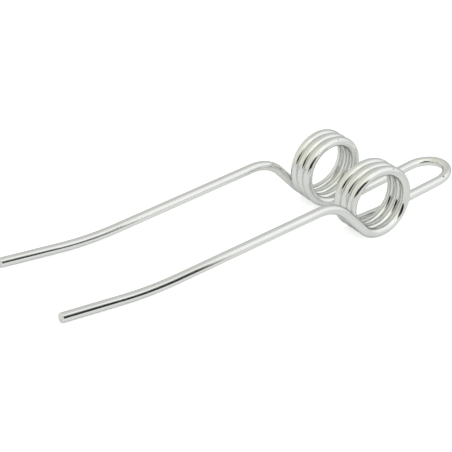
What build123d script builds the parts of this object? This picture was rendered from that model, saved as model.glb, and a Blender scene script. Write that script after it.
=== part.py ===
from build123d import *
from math import asin, atan, atan2, cos, degrees, hypot, pi, radians, sin, tan
import os

# A double torsion spring: one length of round wire, bent into two coils of opposite hand on one
# axis, joined by a loop of two parallel arms, with a long leg leaving the outer end of each coil.
# Sizes are in millimetres and degrees. Lengths along the wire are taken on its centreline.

# wire
wire_diameter = 5.0
cut_edge_break = 0.3  # chamfer round each sheared end

# coils
coil_bore = 28.5
full_turns = 3
turn_gap = 0.15  # air between neighbouring turns
start_angle = 5.5  # each coil starts this far past its point furthest from the legs
leave_angle = 53.0  # and ends this far past it, after the full turns
lead_run = 3.0  # wire between a coil's end and the corner that takes out its sideways slope
lead_radius = 60.0  # gentle bends where the arms and legs meet the coils

# loop
loop_slot = 17.0  # clear width between the arms
loop_reach = 67.5  # coil axis to the outside of the loop's round end, measured along the legs
loop_nose = 13.2  # length of the round end, which is a little longer than a half circle
arm_lead = 14.0  # wire between the corner of each arm's bend and the coil's start
arm_bend = 7.3  # the arms are bent back by this much from the line of the coil's start

# legs
leg_offset = 29.0  # from the coils' far point to the plane of the legs
leg_reach = 188.0  # coil axis to the cut ends, measured along the legs
crest_radius = 22.0  # bend from the ramp, which climbs off the coil, into the leg
tip_length = 49.0
tip_angle = 10.3  # tips bend away from the plane of the arms
tip_flare = 0.8  # tips spread outwards
tip_radius = 180.0

wire_radius = wire_diameter / 2
coil_radius = coil_bore / 2 + wire_radius
pitch = wire_diameter + turn_gap
turns = full_turns + (leave_angle - start_angle) / 360
slope = atan(pitch / (2 * pi * coil_radius))  # of the wire in the coil, in radians
start = radians(start_angle)
leave = radians(leave_angle)
arm_side = loop_slot / 2 + wire_radius


def along(begin, direction, distance):
    """The point at a distance from where a line begins."""
    return Vector(*begin) + Vector(*direction).normalized() * distance


# Corners of one half of the wire, as it is wound: the coil axis is Z, with the mirror plane of the
# spring at Z = 0. The legs run along Y, and X points from the axis to the coils' far point.
coil_start = Vector(
    coil_radius * cos(start), coil_radius * sin(start), arm_side + arm_lead * sin(slope)
)
arm_corner = along(coil_start, (sin(start), -cos(start), -tan(slope)), arm_lead)
arm_slant = radians(arm_bend) - start
arm_direction = Vector(sin(arm_slant), cos(arm_slant), 0)
arm_run = (arm_corner.Y - wire_radius + loop_reach) / arm_direction.Y
loop_end = along((arm_corner.X, arm_corner.Y, 0), arm_direction, -arm_run)
loop_centre = along(loop_end, arm_direction, loop_nose)
arm_start = loop_centre + Vector(0, 0, arm_side)

coil_end = Vector(coil_radius * cos(leave), coil_radius * sin(leave), coil_start.Z + pitch * turns)
climb = Vector(-sin(leave), cos(leave), 0)
ramp_corner = along(coil_end, climb + Vector(0, 0, tan(slope)), lead_run)
leg_line = coil_radius - leg_offset
crest_corner = along(ramp_corner, climb, (ramp_corner.X - leg_line) / sin(leave))

flare, lift = radians(tip_flare), radians(tip_angle)
tip_direction = Vector(-sin(lift) * cos(flare), cos(lift) * cos(flare), sin(flare))
tip_corner = Vector(leg_line, leg_reach - tip_length * tip_direction.Y, crest_corner.Z)
leg_end = along(tip_corner, tip_direction, tip_length)

with BuildPart() as half:
    with BuildLine(
        Plane(origin=loop_centre, x_dir=-arm_direction, z_dir=Vector(0, 0, 1).cross(arm_direction))
    ) as nose:
        EllipticalCenterArc((0, 0), loop_nose, arm_side, start_angle=0, arc_size=90)
    with BuildLine() as route:
        add(nose.line)
        FilletPolyline(arm_start, arm_corner, coil_start, radius=lead_radius)
        coil = Helix(
            pitch, pitch * turns, coil_radius, center=(0, 0, coil_start.Z), mode=Mode.PRIVATE
        )
        add(coil.rotate(Axis.Z, start_angle))
        FilletPolyline(
            coil_end,
            ramp_corner,
            crest_corner,
            tip_corner,
            leg_end,
            radius=[lead_radius, crest_radius, tip_radius],
        )
    with BuildSketch(Plane(origin=loop_end, z_dir=(0, 0, 1))):
        Circle(wire_radius)
    sweep(path=route.line)
    cut_face = half.faces().filter_by(GeomType.PLANE).sort_by(Axis.Y)[-1]
    chamfer(cut_face.edges(), cut_edge_break)


def tilt_onto(foot_x, foot_y, foot_radius):
    """How far the spring rolls on its coils before a round foot touches the floor, in degrees."""
    reach = hypot(foot_x, foot_y)
    return degrees(atan2(-foot_x, foot_y) + asin((coil_radius + wire_radius - foot_radius) / reach))


# The spring lies on its coils and on the undersides of its leg ends, or on the bends before them if
# the tips turn up further than that.
end_foot = along(leg_end, tip_direction, -cut_edge_break) + Vector(cos(lift), sin(lift), 0) * wire_radius
bend_foot = Vector(leg_line - tip_radius, tip_corner.Y - tip_radius * tan(lift / 2), 0)
rest_tilt = tilt_onto(end_foot.X, end_foot.Y, 0)
if rest_tilt < tip_angle:
    rest_tilt = tilt_onto(bend_foot.X, bend_foot.Y, tip_radius + wire_radius)

# The finished spring at rest: Y is the coil axis, +X points to the loop and the floor is level. The
# origin is on the coil axis, midway between the coils.
down = Vector(sin(radians(rest_tilt)), 0, -cos(radians(rest_tilt)))
with BuildPart() as spring:
    with Locations(Plane(origin=(0, 0, 0), x_dir=down, z_dir=(0, 1, 0))):
        add(half.part)
    mirror(about=Plane.XZ)

os.makedirs("parts", exist_ok=True)
spring.part.label = "spring"
export_step(spring.part, "parts/spring.step")

print(f"rest tilt {rest_tilt:.3f} degrees")
print(f"wire length {2 * route.wire().length:.1f} mm")
print(f"volume {spring.part.volume:.1f} mm3, floor at {spring.part.bounding_box().min.Z:.4f} mm")
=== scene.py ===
# %% [markdown]
# # A double torsion spring, dressed and lit
#
# The spring is one length of round steel wire, 5 mm thick and plated with bright zinc. It is bent
# into two coils on one axis, with a long loop between them and a leg running off each. The script
# first loads the measured model as a fixed frame, in metres, and notes the box it fills. Whatever
# is made below has to stay inside that box.

# %% Load the frame
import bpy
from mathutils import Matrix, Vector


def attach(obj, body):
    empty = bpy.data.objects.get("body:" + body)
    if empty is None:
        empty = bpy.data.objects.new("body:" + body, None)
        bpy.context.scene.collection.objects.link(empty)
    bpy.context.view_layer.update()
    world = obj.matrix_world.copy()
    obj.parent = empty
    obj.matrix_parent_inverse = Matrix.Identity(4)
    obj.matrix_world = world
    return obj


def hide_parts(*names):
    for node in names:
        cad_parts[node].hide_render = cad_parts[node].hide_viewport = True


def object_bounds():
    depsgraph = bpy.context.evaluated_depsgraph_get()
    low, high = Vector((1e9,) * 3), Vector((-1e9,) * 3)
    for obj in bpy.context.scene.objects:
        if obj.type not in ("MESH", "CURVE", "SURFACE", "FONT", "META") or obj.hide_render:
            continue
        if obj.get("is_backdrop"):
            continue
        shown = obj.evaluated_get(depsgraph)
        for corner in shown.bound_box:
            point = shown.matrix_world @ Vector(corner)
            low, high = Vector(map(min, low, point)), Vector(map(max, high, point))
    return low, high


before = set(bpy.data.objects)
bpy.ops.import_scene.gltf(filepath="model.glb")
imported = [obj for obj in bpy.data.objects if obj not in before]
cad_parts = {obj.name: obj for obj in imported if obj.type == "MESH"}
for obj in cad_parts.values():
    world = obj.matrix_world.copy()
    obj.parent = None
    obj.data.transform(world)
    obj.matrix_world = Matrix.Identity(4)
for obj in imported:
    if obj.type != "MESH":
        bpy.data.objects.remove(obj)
cad_box = [list(corner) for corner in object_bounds()]

from math import asin, atan, atan2, cos, hypot, pi, radians, sin, tan

import bpy
from mathutils import Matrix, Quaternion, Vector

print("solid spring fills", [[round(c * 1000, 1) for c in corner] for corner in cad_box], "mm")

# %% [markdown]
# ## The wire's sizes
#
# A bent wire is told completely by its thickness and its bends, so the same few sizes that a spring
# maker would write on the drawing are all that is needed here. They are in millimetres and degrees.
# The last one, the skin, makes the dressed wire a hair thinner than the solid, so that rounding can
# never push it outside.

# %% Sizes on the spring maker's drawing
wire_diameter = 5.0
cut_edge_break = 0.3  # chamfer round each cut end
coil_bore = 28.5
full_turns = 3
turn_gap = 0.15  # air between neighbouring turns
start_angle = 5.5  # where a coil starts, past its point furthest from the legs
leave_angle = 53.0  # where it ends, after the full turns
lead_run = 3.0  # wire between a coil's end and the next corner
lead_radius = 60.0  # gentle bends where arms and legs meet the coils
loop_slot = 17.0  # clear width between the two arms
loop_reach = 67.5  # coil axis to the outside of the loop's round end
loop_nose = 13.2  # length of the round end
arm_lead = 14.0  # wire between an arm's bend and the coil
arm_bend = 7.3
leg_offset = 29.0  # from the coils' far point to the legs
leg_reach = 188.0  # coil axis to the cut ends
crest_radius = 22.0  # bend from the ramp into the leg
tip_length = 49.0
tip_angle = 10.3
tip_flare = 0.8  # tips spread outwards
tip_radius = 180.0

skin = 0.002
wire_radius = wire_diameter / 2
coil_radius = coil_bore / 2 + wire_radius
pitch = wire_diameter + turn_gap
turns = full_turns + (leave_angle - start_angle) / 360
slope = atan(pitch / (2 * pi * coil_radius))
arm_side = loop_slot / 2 + wire_radius
print(f"coil radius {coil_radius} mm to the wire's middle, {turns:.3f} turns")

# %% [markdown]
# ## Corners of the bends
#
# One half of the wire is laid out as it is wound: the coil stands on Z, the legs run along Y, and X
# points away from the legs. Straight runs meet at corners, and every corner will be rounded to a
# stated radius. That is how wire is bent on a machine, and it leaves few corners to move.

# %% Corners of one half
def along(begin, direction, distance):
    """The point at a distance from where a line begins."""
    return Vector(begin) + Vector(direction).normalized() * distance


start, leave, lift, flare = (radians(a) for a in (start_angle, leave_angle, tip_angle, tip_flare))
coil_start = Vector(
    (coil_radius * cos(start), coil_radius * sin(start), arm_side + arm_lead * sin(slope))
)
arm_corner = along(coil_start, (sin(start), -cos(start), -tan(slope)), arm_lead)
arm_slant = radians(arm_bend) - start
arm_direction = Vector((sin(arm_slant), cos(arm_slant), 0))
arm_run = (arm_corner.y - wire_radius + loop_reach) / arm_direction.y
loop_end = along((arm_corner.x, arm_corner.y, 0), arm_direction, -arm_run)
loop_centre = along(loop_end, arm_direction, loop_nose)
arm_start = loop_centre + Vector((0, 0, arm_side))

coil_end = Vector(
    (coil_radius * cos(leave), coil_radius * sin(leave), coil_start.z + pitch * turns)
)
climb = Vector((-sin(leave), cos(leave), 0))
ramp_corner = along(coil_end, climb + Vector((0, 0, tan(slope))), lead_run)
leg_line = coil_radius - leg_offset
crest_corner = along(ramp_corner, climb, (ramp_corner.x - leg_line) / sin(leave))
tip_direction = Vector((-sin(lift) * cos(flare), cos(lift) * cos(flare), sin(flare)))
tip_corner = Vector((leg_line, leg_reach - tip_length * tip_direction.y, crest_corner.z))
leg_end = along(tip_corner, tip_direction, tip_length - skin)
leg_edge = along(leg_end, tip_direction, -cut_edge_break)
print("leg end, as wound", [round(c, 2) for c in leg_end])

# %% [markdown]
# ## How the spring lies
#
# Set down on a table, the spring rolls on its coils until the undersides of its leg ends touch.
# The angle follows from the sizes: the line from the coil axis to the foot, and how much lower the
# coil reaches.

# %% Angle at rest
foot = leg_edge + Vector((cos(lift), sin(lift), 0)) * wire_radius
rest_tilt = atan2(-foot.x, foot.y) + asin((coil_radius + wire_radius) / hypot(foot.x, foot.y))
down = Vector((sin(rest_tilt), 0, -cos(rest_tilt)))
coil_axis = Vector((0, 1, 0))
rest_turn = Matrix((down, coil_axis.cross(down), coil_axis)).transposed().to_euler()
print(f"the spring rests {rest_tilt * 180 / pi:.2f} degrees off level")

# %% [markdown]
# ## A guide for the straight runs
#
# The guide is a mesh of bare edges through the corners, one chain for the arm and one for the leg.
# Each corner carries its bend radius as an attribute. A second attribute says how much thinner the
# wire gets at its cut end, where there is a small chamfer. A curve with handles would do as well,
# but its bends would have to be pulled into shape, and here each one is a number.

# %% Guide mesh with a bend radius at every corner
def put_in_scene(name, data):
    """A new object in the scene that shows a mesh or a camera."""
    thing = bpy.data.objects.new(name, data)
    bpy.context.scene.collection.objects.link(thing)
    return thing


mm = 0.001
arm_chain = [(arm_start, 0, 0), (arm_corner, lead_radius, 0), (coil_start, 0, 0)]
leg_chain = [
    (coil_end, 0, 0),
    (ramp_corner, lead_radius, 0),
    (crest_corner, crest_radius, 0),
    (tip_corner, tip_radius, 0),
    (leg_edge, 0, 0),
    (leg_end, 0, cut_edge_break / wire_radius),
]
corners = arm_chain + leg_chain
runs = [(k, k + 1) for k in range(len(corners) - 1) if k + 1 != len(arm_chain)]
guide = bpy.data.meshes.new("wire_guide")
guide.from_pydata([corner * mm for corner, _, _ in corners], runs, [])
bend = guide.attributes.new("bend_radius", "FLOAT", "POINT")
bend.data.foreach_set("value", [radius * mm for _, radius, _ in corners])
thin = guide.attributes.new("thinned", "FLOAT", "POINT")
thin.data.foreach_set("value", [share for _, _, share in corners])
wire = put_in_scene("spring_wire", guide)
print(len(corners), "corners and", len(runs), "runs in the guide")

# %% [markdown]
# ## A tree that bends and sweeps the wire
#
# The wire follows a rule from end to end, so Geometry Nodes suit it better than modelling by hand:
# change a size and the whole wire follows. The tree rounds the guide's corners with Fillet Curve,
# adds the coil from a Spiral and the round end of the loop from an Arc, mirrors the lot, joins it
# into one line and sweeps a circle along it. Three small helpers keep this wiring, and that of the
# finishes later on, short enough to read.

# %% Helpers for node trees
def add_node(tree, kind, inputs=None, **settings):
    """A node with its settings, its inputs set to values or linked to outputs."""
    node = tree.nodes.new(kind)
    for name, value in settings.items():
        setattr(node, name, value)
    for name, value in (inputs or {}).items():
        socket = node.inputs[name]
        if isinstance(value, bpy.types.NodeSocket):
            tree.links.new(value, socket)
        else:
            socket.default_value = value
    return node


def sums(tree, operation, *values):
    """One step of arithmetic on numbers or outputs."""
    inputs = dict(enumerate(values))
    return add_node(tree, "ShaderNodeMath", inputs, operation=operation).outputs["Value"]


def ramp(tree, value, from_range, to_range, curve="LINEAR"):
    """A value carried over from one range of numbers to another."""
    limits = dict(zip(("From Min", "From Max", "To Min", "To Max"), (*from_range, *to_range)))
    inputs = {"Value": value, **limits}
    node = add_node(tree, "ShaderNodeMapRange", inputs, interpolation_type=curve)
    return node.outputs["Result"]


print("helpers for nodes, sums and ramps are ready")

# %% [markdown]
# ## The tree's inputs
#
# Every size becomes a named input, so the tree itself holds no number of this one spring and would
# bend any other of its kind. The last three sizes say how finely round shapes are divided: enough
# for a smooth outline, and no more faces than that needs.

# %% Named inputs of the tree
bend_tree = bpy.data.node_groups.new("bend_and_sweep_wire", "GeometryNodeTree")
loop_end_turn = (pi / 2, 0, atan2(-arm_direction.y, -arm_direction.x))
sizes = {
    "Wire Radius": ("NodeSocketFloat", (wire_radius - skin) * mm),
    "Coil Radius": ("NodeSocketFloat", coil_radius * mm),
    "Coil Turns": ("NodeSocketFloat", turns),
    "Coil Height": ("NodeSocketFloat", pitch * turns * mm),
    "Coil Place": ("NodeSocketVector", (0, 0, coil_start.z * mm)),
    "Coil Turn": ("NodeSocketVector", (0, 0, start)),
    "Loop End Place": ("NodeSocketVector", loop_centre * mm),
    "Loop End Turn": ("NodeSocketVector", loop_end_turn),
    "Loop End Shape": ("NodeSocketVector", (loop_nose * mm, arm_side * mm, 1)),
    "Rest Turn": ("NodeSocketVector", tuple(rest_turn)),
    "Bend Steps": ("NodeSocketInt", 26),
    "Coil Steps": ("NodeSocketInt", 96),
    "Round Steps": ("NodeSocketInt", 48),
}
socket_kinds = {"Guide": "NodeSocketGeometry", "Finish": "NodeSocketMaterial"}
socket_kinds.update({name: kind for name, (kind, value) in sizes.items()})
tree_inputs = {}
for name, kind in socket_kinds.items():
    tree_inputs[name] = bend_tree.interface.new_socket(
        name=name, in_out="INPUT", socket_type=kind
    )
bend_tree.interface.new_socket(name="Wire", in_out="OUTPUT", socket_type="NodeSocketGeometry")
print(len(tree_inputs), "named inputs on the tree")

# %% [markdown]
# ## The line of one half
#
# The tree first makes the middle line of one half, in three pieces. The arm and the leg are the
# guide with its corners rounded. The coil is a spiral that keeps its radius and only climbs. This
# half's share of the loop's round end is a quarter of a circle, stretched a little lengthwise.

# %% Three pieces of one half
given = add_node(bend_tree, "NodeGroupInput").outputs
radius_field = add_node(
    bend_tree, "GeometryNodeInputNamedAttribute", {"Name": "bend_radius"}, data_type="FLOAT"
)
straight = add_node(bend_tree, "GeometryNodeMeshToCurve", {"Mesh": given["Guide"]})
rounded = add_node(
    bend_tree,
    "GeometryNodeFilletCurve",
    {
        "Curve": straight.outputs["Curve"],
        "Count": given["Bend Steps"],
        "Radius": radius_field.outputs["Attribute"],
    },
    mode="POLY",
)
spiral = add_node(
    bend_tree,
    "GeometryNodeCurveSpiral",
    {
        "Resolution": given["Coil Steps"],
        "Rotations": given["Coil Turns"],
        "Start Radius": given["Coil Radius"],
        "End Radius": given["Coil Radius"],
        "Height": given["Coil Height"],
        "Reverse": True,
    },
)
coil = add_node(
    bend_tree,
    "GeometryNodeTransform",
    {
        "Geometry": spiral.outputs["Curve"],
        "Translation": given["Coil Place"],
        "Rotation": given["Coil Turn"],
    },
)
quarter = add_node(
    bend_tree,
    "GeometryNodeCurveArc",
    {"Resolution": given["Bend Steps"], "Radius": 1.0, "Start Angle": 0.0, "Sweep Angle": pi / 2},
    mode="RADIUS",
)
loop_arc = add_node(
    bend_tree,
    "GeometryNodeTransform",
    {
        "Geometry": quarter.outputs["Curve"],
        "Translation": given["Loop End Place"],
        "Rotation": given["Loop End Turn"],
        "Scale": given["Loop End Shape"],
    },
)
print(len(bend_tree.nodes), "nodes make the three pieces")

# %% [markdown]
# ## One line from end to end
#
# The three pieces touch end to end, so turning them to edges and merging what coincides leaves one
# chain. The mirrored copy joins it at the loop's middle in the same way, and the whole line is laid
# down at its angle of rest. Three tubes could be swept and joined instead, but one unbroken line
# has no seams.

# %% The wire's middle line
half = add_node(bend_tree, "GeometryNodeJoinGeometry")
for piece in (rounded.outputs["Curve"], coil.outputs["Geometry"], loop_arc.outputs["Geometry"]):
    bend_tree.links.new(piece, half.inputs["Geometry"])
half_edges = add_node(
    bend_tree, "GeometryNodeCurveToMesh", {"Curve": half.outputs["Geometry"]}
).outputs["Mesh"]
mirrored = {"Geometry": half_edges, "Scale": (1, 1, -1)}
other_half = add_node(bend_tree, "GeometryNodeTransform", mirrored).outputs["Geometry"]
both = add_node(bend_tree, "GeometryNodeJoinGeometry")
for piece in (half_edges, other_half):
    bend_tree.links.new(piece, both.inputs["Geometry"])
touching = 0.02 * mm
one_chain = add_node(
    bend_tree,
    "GeometryNodeMergeByDistance",
    {"Geometry": both.outputs["Geometry"], "Distance": touching},
)
laid_down = add_node(
    bend_tree,
    "GeometryNodeTransform",
    {"Geometry": one_chain.outputs["Geometry"], "Rotation": given["Rest Turn"]},
)
middle_line = add_node(
    bend_tree, "GeometryNodeMeshToCurve", {"Mesh": laid_down.outputs["Geometry"]}
)
print(len(bend_tree.nodes), "nodes up to the middle line")

# %% [markdown]
# ## Sweeping the circle
#
# A curve's own bevel would make the same tube, but Curve to Mesh can also note two things on the
# way: how far along the wire each point is, and where on the circle it sits. Together they say
# where the point was when the wire was still straight, and the finish uses that to run its fine
# draw lines along the wire round every bend.

# %% From a line to round wire
thinned = add_node(
    bend_tree, "GeometryNodeInputNamedAttribute", {"Name": "thinned"}, data_type="FLOAT"
)
line_radius = sums(bend_tree, "SUBTRACT", 1.0, thinned.outputs["Attribute"])
sized_line = add_node(
    bend_tree,
    "GeometryNodeSetCurveRadius",
    {"Curve": middle_line.outputs["Curve"], "Radius": line_radius},
)
along_wire = add_node(bend_tree, "GeometryNodeSplineParameter").outputs["Length"]
noted_line = add_node(
    bend_tree,
    "GeometryNodeStoreNamedAttribute",
    {"Geometry": sized_line.outputs["Curve"], "Name": "along_wire", "Value": along_wire},
    data_type="FLOAT",
    domain="POINT",
)
ring = add_node(
    bend_tree,
    "GeometryNodeCurvePrimitiveCircle",
    {"Resolution": given["Round Steps"], "Radius": given["Wire Radius"]},
    mode="RADIUS",
)
on_ring = add_node(bend_tree, "GeometryNodeInputPosition").outputs["Position"]
noted_ring = add_node(
    bend_tree,
    "GeometryNodeStoreNamedAttribute",
    {"Geometry": ring.outputs["Curve"], "Name": "on_ring", "Value": on_ring},
    data_type="FLOAT_VECTOR",
    domain="POINT",
)
swept = add_node(
    bend_tree,
    "GeometryNodeCurveToMesh",
    {
        "Curve": noted_line.outputs["Geometry"],
        "Profile Curve": noted_ring.outputs["Geometry"],
        "Scale": add_node(bend_tree, "GeometryNodeInputRadius").outputs["Radius"],
        "Fill Caps": True,
    },
)
print(len(bend_tree.nodes), "nodes up to the round wire")

# %% [markdown]
# ## Smooth round, sharp at the ends
#
# Drawn wire is round, so its many small faces are shaded as one smooth surface. The cut ends and
# their chamfers meet at clear angles. Shading everything smooth would smear them, so every edge
# steeper than a set angle stays sharp. The finish goes on last.

# %% Shading and finish
edge_angle = add_node(bend_tree, "GeometryNodeInputMeshEdgeAngle").outputs["Unsigned Angle"]
sharp_from = 0.5  # radians between two faces
gentle = add_node(
    bend_tree,
    "FunctionNodeCompare",
    {"A": edge_angle, "B": sharp_from},
    data_type="FLOAT",
    operation="LESS_THAN",
)
smooth_faces = add_node(
    bend_tree,
    "GeometryNodeSetShadeSmooth",
    {"Geometry": swept.outputs["Mesh"], "Shade Smooth": True},
    domain="FACE",
)
smooth_edges = add_node(
    bend_tree,
    "GeometryNodeSetShadeSmooth",
    {"Geometry": smooth_faces.outputs["Geometry"], "Shade Smooth": gentle.outputs["Result"]},
    domain="EDGE",
)
real = add_node(
    bend_tree, "GeometryNodeRealizeInstances", {"Geometry": smooth_edges.outputs["Geometry"]}
)
finished = add_node(
    bend_tree,
    "GeometryNodeSetMaterial",
    {"Geometry": real.outputs["Geometry"], "Material": given["Finish"]},
)
add_node(bend_tree, "NodeGroupOutput", {"Wire": finished.outputs["Geometry"]})
print(len(bend_tree.nodes), "nodes in the finished tree")

# %% [markdown]
# ## Where each point was on the straight wire
#
# The wire was drawn straight before it was coiled and plated, so the marks on it run along its
# length. The two notes left by the tree give each point its place on the straight wire: the
# distance along it and the spot on its circle. Noise laid out on that place follows every bend by
# itself.

# %% Places on the straight wire
def empty_material(name):
    """A new material and its node tree, with nothing in it yet."""
    material = bpy.data.materials.new(name)
    material.use_nodes = True
    material.node_tree.nodes.clear()
    return material, material.node_tree


zinc, zinc_tree = empty_material("bright_zinc")
along_note = add_node(zinc_tree, "ShaderNodeAttribute", attribute_name="along_wire")
ring_note = add_node(zinc_tree, "ShaderNodeAttribute", attribute_name="on_ring")
ring_parts = add_node(zinc_tree, "ShaderNodeSeparateXYZ", {"Vector": ring_note.outputs["Vector"]})
straight_place = add_node(
    zinc_tree,
    "ShaderNodeCombineXYZ",
    {
        "X": along_note.outputs["Fac"],
        "Y": ring_parts.outputs["X"],
        "Z": ring_parts.outputs["Y"],
    },
)


def wire_noise(per_metre_along, per_metre_round, detail):
    """Noise stretched along the wire."""
    stretch = (per_metre_along, per_metre_round, per_metre_round)
    laid_out = add_node(
        zinc_tree,
        "ShaderNodeVectorMath",
        {0: straight_place.outputs["Vector"], 1: stretch},
        operation="MULTIPLY",
    )
    noise = add_node(
        zinc_tree,
        "ShaderNodeTexNoise",
        {"Vector": laid_out.outputs["Vector"], "Scale": 1.0, "Detail": detail},
    )
    return noise.outputs["Fac"]


draw_lines = wire_noise(per_metre_along=22, per_metre_round=1700, detail=3.0)
clouds = wire_noise(per_metre_along=60, per_metre_round=260, detail=4.0)
print("draw lines and clouds follow the wire")

# %% [markdown]
# ## Bright zinc
#
# Bright zinc plate is a mirror with a little haze. It comes out of the bath in faint clouds, some
# clearer and some milkier, so the same noise moves the tone and the haze together. The draw lines
# only tilt the surface, which is enough to break a mirrored edge into fine streaks. They are far
# too fine to be modelled.

# %% Tone, haze and draw lines
tone = add_node(
    zinc_tree,
    "ShaderNodeMix",
    {"Factor": clouds, "A": (0.775, 0.787, 0.778, 1.0), "B": (0.86, 0.87, 0.862, 1.0)},
    data_type="RGBA",
)
haze = ramp(zinc_tree, clouds, from_range=(0.3, 0.7), to_range=(0.09, 0.17))
fine = add_node(
    zinc_tree, "ShaderNodeBump", {"Height": draw_lines, "Strength": 0.3, "Distance": 0.04 * mm}
)
print("zinc tone from", [round(c, 2) for c in tone.inputs["A"].default_value[:3]])

# %% [markdown]
# ## Nicks from the coiling tool
#
# The tool has left a few small nicks, two on top of the coils and one near the end of the loop.
# Each is a spot given by its middle and its size in millimetres. Inside a spot the plating is thin,
# so the metal is darker and duller. That is all that shows at this size, so nothing is cut into
# the mesh.

# %% Nicks in the plating
nicks = [((4.9, -26.8, 17.7), 0.5), ((0.8, 12.6, 18.5), 0.45), ((56.9, -12.1, -3.4), 0.7)]
on_spring = add_node(zinc_tree, "ShaderNodeTexCoord").outputs["Object"]
nicked = 0.0
for middle, size in nicks:
    away = add_node(
        zinc_tree,
        "ShaderNodeVectorMath",
        {0: on_spring, 1: Vector(middle) * mm},
        operation="DISTANCE",
    )
    rim = (0.5 * size * mm, size * mm)
    inside = ramp(zinc_tree, away.outputs["Value"], from_range=rim, to_range=(1.0, 0.0))
    nicked = sums(zinc_tree, "MAXIMUM", nicked, inside)
worn_tone = add_node(
    zinc_tree,
    "ShaderNodeMix",
    {"Factor": nicked, "A": tone.outputs["Result"], "B": (0.20, 0.19, 0.18, 1.0)},
    data_type="RGBA",
)
more_haze = 0.25
worn_haze = sums(zinc_tree, "MULTIPLY_ADD", nicked, more_haze, haze)
print(len(nicks), "nicks")

# %% [markdown]
# ## The finish as one material
#
# Everything meets in one metal shader. Its Specular Tint below one makes the metal darken a little
# towards the outlines, as zinc does, where a plain mirror would turn white.

# %% The finished zinc
metal = add_node(
    zinc_tree,
    "ShaderNodeBsdfPrincipled",
    {
        "Metallic": 1.0,
        "Specular Tint": (0.62, 0.63, 0.62, 1.0),
        "Base Color": worn_tone.outputs["Result"],
        "Roughness": worn_haze,
        "Normal": fine.outputs["Normal"],
    },
)
add_node(zinc_tree, "ShaderNodeOutputMaterial", {"Surface": metal.outputs["BSDF"]})
print("finish:", zinc.name, "with", len(zinc_tree.nodes), "nodes")

# %% [markdown]
# ## From tree to plain mesh
#
# The modifier runs the tree on the guide. Its inputs are set by their identifiers before anything
# is evaluated, and the result is kept as a plain mesh, so that the modifier can go and what is left
# is ordinary geometry that any program reads.

# %% Run the tree and keep a plain mesh
modifier = wire.modifiers.new("bend_and_sweep", "NODES")
modifier.node_group = bend_tree
for name, (kind, value) in sizes.items():
    modifier[tree_inputs[name].identifier] = value
modifier[tree_inputs["Finish"].identifier] = zinc
bpy.context.view_layer.update()
graph = bpy.context.evaluated_depsgraph_get()
plain = bpy.data.meshes.new_from_object(
    wire.evaluated_get(graph), preserve_all_data_layers=True, depsgraph=graph
)
wire.modifiers.clear()
wire.data = plain
plain.name = "spring_wire"
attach(wire, "root")
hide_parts("spring")
print("wire mesh:", len(plain.polygons), "faces, finish", plain.materials[0].name)

# %% [markdown]
# ## White paper floor
#
# The spring lies on a sheet of white paper. Lit as it is, the paper takes the spring's shadow. For
# the camera a glow of its own brings it up to white and leaves the shadow faint. Mirror rays see a
# little of the same glow, which dies away towards the front, so that the wire's lower side has some
# depth. Neither puts more light on the spring's shadow side than paper would.

# %% Paper floor
floor_height = cad_box[0][2]
reach = 6.0  # metres from the middle to each side
square = [(-reach, -reach), (reach, -reach), (reach, reach), (-reach, reach)]
floor_mesh = bpy.data.meshes.new("paper_floor")
floor_mesh.from_pydata([(x, y, floor_height) for x, y in square], [], [(0, 1, 2, 3)])
floor = put_in_scene("paper_floor", floor_mesh)

paper, paper_tree = empty_material("white_paper")
rays = add_node(paper_tree, "ShaderNodeLightPath").outputs
on_paper = add_node(paper_tree, "ShaderNodeTexCoord").outputs["Object"]
to_back = add_node(paper_tree, "ShaderNodeSeparateXYZ", {"Vector": on_paper}).outputs["Y"]
mirror_glow = ramp(
    paper_tree, to_back, from_range=(-90 * mm, -35 * mm), to_range=(0.02, 0.135)
)
for_mirror = sums(paper_tree, "MULTIPLY", rays["Is Glossy Ray"], mirror_glow)
camera_glow = 0.58
own_light = sums(paper_tree, "MULTIPLY_ADD", rays["Is Camera Ray"], camera_glow, for_mirror)
matt = add_node(paper_tree, "ShaderNodeBsdfDiffuse", {"Color": (0.835, 0.85, 0.87, 1.0)})
glow = add_node(paper_tree, "ShaderNodeEmission", {"Strength": own_light})
lit = add_node(
    paper_tree, "ShaderNodeAddShader", {0: matt.outputs["BSDF"], 1: glow.outputs["Emission"]}
)
add_node(paper_tree, "ShaderNodeOutputMaterial", {"Surface": lit.outputs["Shader"]})
floor_mesh.materials.append(paper)
floor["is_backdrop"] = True
print("floor at", round(floor_height * 1000, 2), "mm")

# %% [markdown]
# ## A tent with two soft lights
#
# Shiny parts are shown best in a white tent, where all they mirror is even cloth. Here the world
# is that tent. It is brighter where two lamps stand behind the cloth, one low at the front and one
# high at the front left. It is dimmer in the roof and where its front meets the table, and the
# cloth is a little warmer on the left. Area lamps would be mirrored as hard rectangles. Each patch
# is read from the angle between two directions instead, so it has no edge that the wire could
# mirror.

# %% Light of the tent
tent = bpy.data.worlds.new("white_tent")
tent.use_nodes = True
tent_tree = tent.node_tree
tent_tree.nodes.clear()
way = add_node(tent_tree, "ShaderNodeTexCoord").outputs["Generated"]


def patch(direction, closeness, levels, curve="SMOOTHSTEP"):
    """A value that changes from one level to another as a ray turns towards a direction.

    The direction is an azimuth and an elevation in degrees. Closeness is the range, in the cosine
    of the angle between the two, over which the value changes.
    """
    turn, rise = (radians(angle) for angle in direction)
    centre = (cos(rise) * cos(turn), cos(rise) * sin(turn), sin(rise))
    alike = add_node(
        tent_tree, "ShaderNodeVectorMath", {0: way, 1: centre}, operation="DOT_PRODUCT"
    )
    return ramp(tent_tree, alike.outputs["Value"], closeness, levels, curve)


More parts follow.
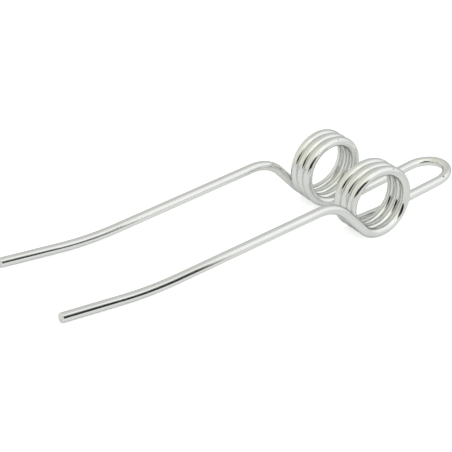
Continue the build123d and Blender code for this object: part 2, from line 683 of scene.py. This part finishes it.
left = (170, 20)
cloth_light = patch(left, closeness=(-0.3, 0.8), levels=(0.69, 0.83), curve="LINEAR")
dim_roof = patch((0, 90), closeness=(0.55, 1.0), levels=(0.0, -0.11), curve="LINEAR")
dim_front = patch((-48, 0), closeness=(0.75, 1.0), levels=(0.0, -0.17))
front_lamp = patch((-62, 30), closeness=(0.3, 1.0), levels=(0.0, 0.44))
high_lamp = patch((-142, 58), closeness=(0.82, 1.0), levels=(0.0, 0.25))
strength = cloth_light
for change in (dim_roof, dim_front, front_lamp, high_lamp):
    strength = sums(tent_tree, "ADD", strength, change)
print(len(tent_tree.nodes), "nodes light the tent")

# %% [markdown]
# ## The tent as the world
#
# The camera itself sees plain white behind the spring. Every other ray sees the lit cloth.

# %% World
warmth = patch(left, closeness=(-0.2, 0.7), levels=(0.0, 1.0), curve="LINEAR")
cloth_tone = add_node(
    tent_tree,
    "ShaderNodeMix",
    {"Factor": warmth, "A": (0.995, 1.0, 0.985, 1.0), "B": (1.0, 0.993, 0.885, 1.0)},
    data_type="RGBA",
)
cloth = add_node(
    tent_tree,
    "ShaderNodeBackground",
    {"Color": cloth_tone.outputs["Result"], "Strength": strength},
)
white = add_node(
    tent_tree, "ShaderNodeBackground", {"Color": (1.0, 1.0, 1.0, 1.0), "Strength": 1.0}
)
backdrop = add_node(
    tent_tree,
    "ShaderNodeMixShader",
    {
        "Fac": add_node(tent_tree, "ShaderNodeLightPath").outputs["Is Camera Ray"],
        1: cloth.outputs["Background"],
        2: white.outputs["Background"],
    },
)
add_node(tent_tree, "ShaderNodeOutputWorld", {"Surface": backdrop.outputs["Shader"]})
bpy.context.scene.world = tent
print("world:", tent.name)

# %% [markdown]
# ## Dark cards
#
# A mirror in an all-white tent has no shape: it needs something dark to mirror. In a studio black
# cards are stood beside the lens. Here a wide one draws the short dark dashes on the coils. A
# second stands on a line that starts at the near coil, so the coil sees it edge on and only the
# leg ends mirror it. Both grow paler with height, which gives their marks a soft upper side.
# Painting the marks on the wire would be wrong from any other side: here they move as the spring
# is turned. Only mirror rays see the cards, so they put no shadow on the floor.

# %% Material for the cards
def card_material(name, fade_from):
    """Black up to a height in millimetres, then paler towards the top."""
    material, tree = empty_material(name)
    on_card = add_node(tree, "ShaderNodeTexCoord").outputs["Object"]
    height = add_node(tree, "ShaderNodeSeparateXYZ", {"Vector": on_card}).outputs["Z"]
    fade = ramp(tree, height, from_range=(fade_from * mm, 260 * mm), to_range=(0.015, 0.55))
    light = add_node(tree, "ShaderNodeEmission", {"Strength": fade})
    add_node(tree, "ShaderNodeOutputMaterial", {"Surface": light.outputs["Emission"]})
    return material


black = card_material("black_card", fade_from=130)
fading = card_material("fading_card", fade_from=80)
print("materials:", black.name, "and", fading.name)

# %% [markdown]
# ## Standing the cards up
#
# Each card is one flat face through its corners, in millimetres. The front card's corners are told
# by X and Z, and those of the leg card by the distance from the near coil and Z.

# %% The two cards
def add_card(name, corners, material):
    """A flat sheet that only mirror rays see."""
    mesh = bpy.data.meshes.new(name)
    face = tuple(range(len(corners)))
    mesh.from_pydata([Vector(corner) * mm for corner in corners], [], [face])
    mesh.materials.append(material)
    card = put_in_scene(name, mesh)
    card.visible_camera = card.visible_shadow = card.visible_diffuse = False
    card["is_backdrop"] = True


front_y = -350
front = [(-620, -19), (60, -19), (40, 80), (-60, 130), (-170, 235), (-475, 290), (-620, 290)]
add_card("front_card", [(x, front_y, z) for x, z in front], black)

near_coil_y = -31
line_x, line_y = -0.36, -0.93  # which way the leg card runs from the coil
beside = [(122, -19), (330, -19), (330, 500), (142, 175), (142, 40), (122, 5)]
add_card(
    "leg_card", [(line_x * away, near_coil_y + line_y * away, z) for away, z in beside], fading
)
print("two cards stand")

# %% [markdown]
# ## Camera
#
# The camera looks down at the spring from the leg side with a long lens, which keeps the near leg
# from looking much thicker than the far one, and it is rolled a little. A place, a direction and
# the roll are all that it needs.

# %% Camera
lens_data = bpy.data.cameras.new("camera")
lens_data.sensor_width = 36.0
lens_data.lens = 127.4336
lens_data.clip_end = 20.0
camera = put_in_scene("camera", lens_data)
camera.location = Vector((-514.16, -557.16, 350.67)) * mm
look = Vector((0.550018, 0.701833, -0.452671))
roll = Quaternion((0, 0, 1), radians(5.688))
camera.rotation_mode = "QUATERNION"
camera.rotation_quaternion = look.to_track_quat("-Z", "Y") @ roll
bpy.context.scene.camera = camera
bpy.context.scene.view_settings.view_transform = "Standard"
print("lens", round(lens_data.lens, 1), "mm")

# %% [markdown]
# ## The size of the dressed wire
#
# The finished wire's box is written next to the solid's box, so that the two can be compared.

# %% Size of the dressed wire
dressed_box = [list(corner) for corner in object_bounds()]
filled = [[round(c * 1000, 2) for c in corner] for corner in dressed_box]
print("dressed spring fills", filled, "mm")
